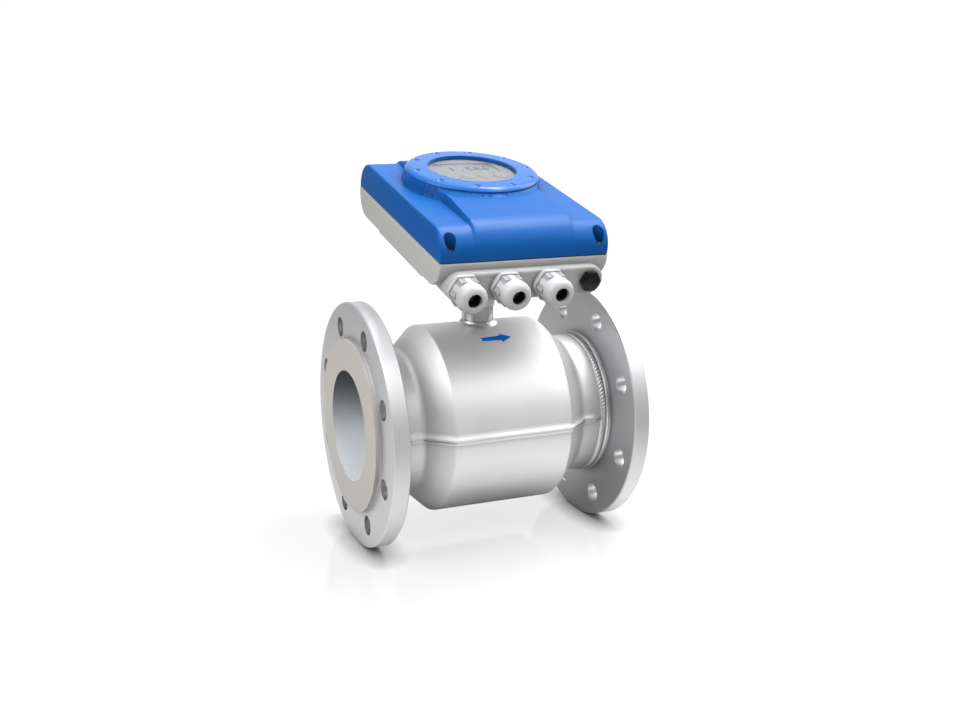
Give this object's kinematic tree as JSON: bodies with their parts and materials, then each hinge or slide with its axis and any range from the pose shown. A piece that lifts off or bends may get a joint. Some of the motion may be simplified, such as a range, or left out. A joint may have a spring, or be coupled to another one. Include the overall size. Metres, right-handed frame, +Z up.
{
  "type": "electromagnetic flow meter",
  "caption": "Flanged electromagnetic flow meter with a lined bore, welded steel housing and a tilted signal converter with a round display, push keys and cable glands.",
  "frame": {"origin": "on the pipe axis, midway between the two sealing faces", "axes": "+X along the flow, +Z up towards the converter, -Y towards the side with the cable glands"},
  "size_m": [0.25, 0.2442, 0.3457],
  "materials": {
    "flange_steel": "turned and blasted stainless steel, satin",
    "tube_steel": "plain stainless tube",
    "housing_steel": "pressed stainless sheet, fine blasted satin",
    "weld_steel": "rippled weld metal",
    "liner_polymer": "warm grey moulded liner",
    "cast_alloy": "cast aluminium, satin",
    "screw_steel": "stainless screws",
    "field_iron": "dark soft iron",
    "copper_wire": "enamelled copper winding",
    "electrode_metal": "polished corrosion resistant alloy",
    "insulator": "white insulating polymer",
    "case_grey": "light grey satin coating on die-cast aluminium",
    "case_blue": "blue satin coating on die-cast aluminium",
    "ring_blue": "blue moulded plastic, satin",
    "black_rubber": "black elastomer",
    "plate_grey": "light grey front plate",
    "lcd_glass": "pale reflective LCD",
    "key_grey": "light grey keys",
    "board_green": "green circuit board",
    "terminal_plastic": "green terminal block",
    "transformer_iron": "varnished laminated iron",
    "gland_white": "light grey nylon",
    "plug_black": "black nylon"
  },
  "bodies": {
    "meter": {"inlet_flange": "flange_steel", "outlet_flange": "flange_steel", "measuring_tube": "tube_steel", "liner": "liner_polymer", "housing_upper": "housing_steel", "housing_lower": "housing_steel", "weld_inlet": "weld_steel", "weld_outlet": "weld_steel", "stem_weld": "weld_steel", "neck_tube": "housing_steel", "neck_adapter": "cast_alloy", "adapter_screws": "screw_steel", "pole_upper": "field_iron", "pole_lower": "field_iron", "coil_upper": "copper_wire", "coil_lower": "copper_wire", "field_yoke": "field_iron", "electrode_front": "electrode_metal", "electrode_bush_front": "insulator", "electrode_nut_front": "screw_steel", "electrode_rear": "electrode_metal", "electrode_bush_rear": "insulator", "electrode_nut_rear": "screw_steel", "converter_base": "case_grey", "cover_gasket": "black_rubber", "converter_cover": "case_blue", "cover_screws": "screw_steel", "display_plate": "plate_grey", "lcd_module": "lcd_glass", "display_board": "board_green", "main_board": "board_green", "board_screws": "screw_steel", "terminal_block": "terminal_plastic", "transformer": "transformer_iron", "gland_body_1": "gland_white", "gland_body_2": "gland_white", "gland_body_3": "gland_white", "gland_seal_1": "black_rubber", "gland_seal_2": "black_rubber", "gland_seal_3": "black_rubber", "blanking_plug": "plug_black", "plug_seal": "black_rubber"},
    "ring": {"window_ring": "ring_blue"},
    "key_1": {"display_key_1": "key_grey"},
    "key_2": {"display_key_2": "key_grey"},
    "key_3": {"display_key_3": "key_grey"},
    "key_4": {"display_key_4": "key_grey"},
    "nut_1": {"gland_nut_1": "gland_white"},
    "nut_2": {"gland_nut_2": "gland_white"},
    "nut_3": {"gland_nut_3": "gland_white"}
  },
  "joints": [
    {"name": "ring_turn", "type": "hinge", "parent": "meter", "child": "ring", "pos_m": [0, 0.01362, 0.2189], "axis": [0, -0.2192, 0.9757], "range_deg": [0, 30]},
    {"name": "key_1_press", "type": "slide", "parent": "meter", "child": "key_1", "axis": [0, 0.2192, -0.9757], "range_m": [0, 0.0006], "stiffness_N_per_m": 1500},
    {"name": "key_2_press", "type": "slide", "parent": "meter", "child": "key_2", "axis": [0, 0.2192, -0.9757], "range_m": [0, 0.0006], "stiffness_N_per_m": 1500},
    {"name": "key_3_press", "type": "slide", "parent": "meter", "child": "key_3", "axis": [0, 0.2192, -0.9757], "range_m": [0, 0.0006], "stiffness_N_per_m": 1500},
    {"name": "key_4_press", "type": "slide", "parent": "meter", "child": "key_4", "axis": [0, 0.2192, -0.9757], "range_m": [0, 0.0006], "stiffness_N_per_m": 1500},
    {"name": "gland_nut_1_turn", "type": "hinge", "parent": "meter", "child": "nut_1", "pos_m": [-0.0579, -0.11121, 0.13448], "axis": [0, -0.9757, -0.2192], "range_deg": [0, 1080]},
    {"name": "gland_nut_2_turn", "type": "hinge", "parent": "meter", "child": "nut_2", "pos_m": [-0.0193, -0.11121, 0.13448], "axis": [0, -0.9757, -0.2192], "range_deg": [0, 1080]},
    {"name": "gland_nut_3_turn", "type": "hinge", "parent": "meter", "child": "nut_3", "pos_m": [0.0193, -0.11121, 0.13448], "axis": [0, -0.9757, -0.2192], "range_deg": [0, 1080]}
  ]
}
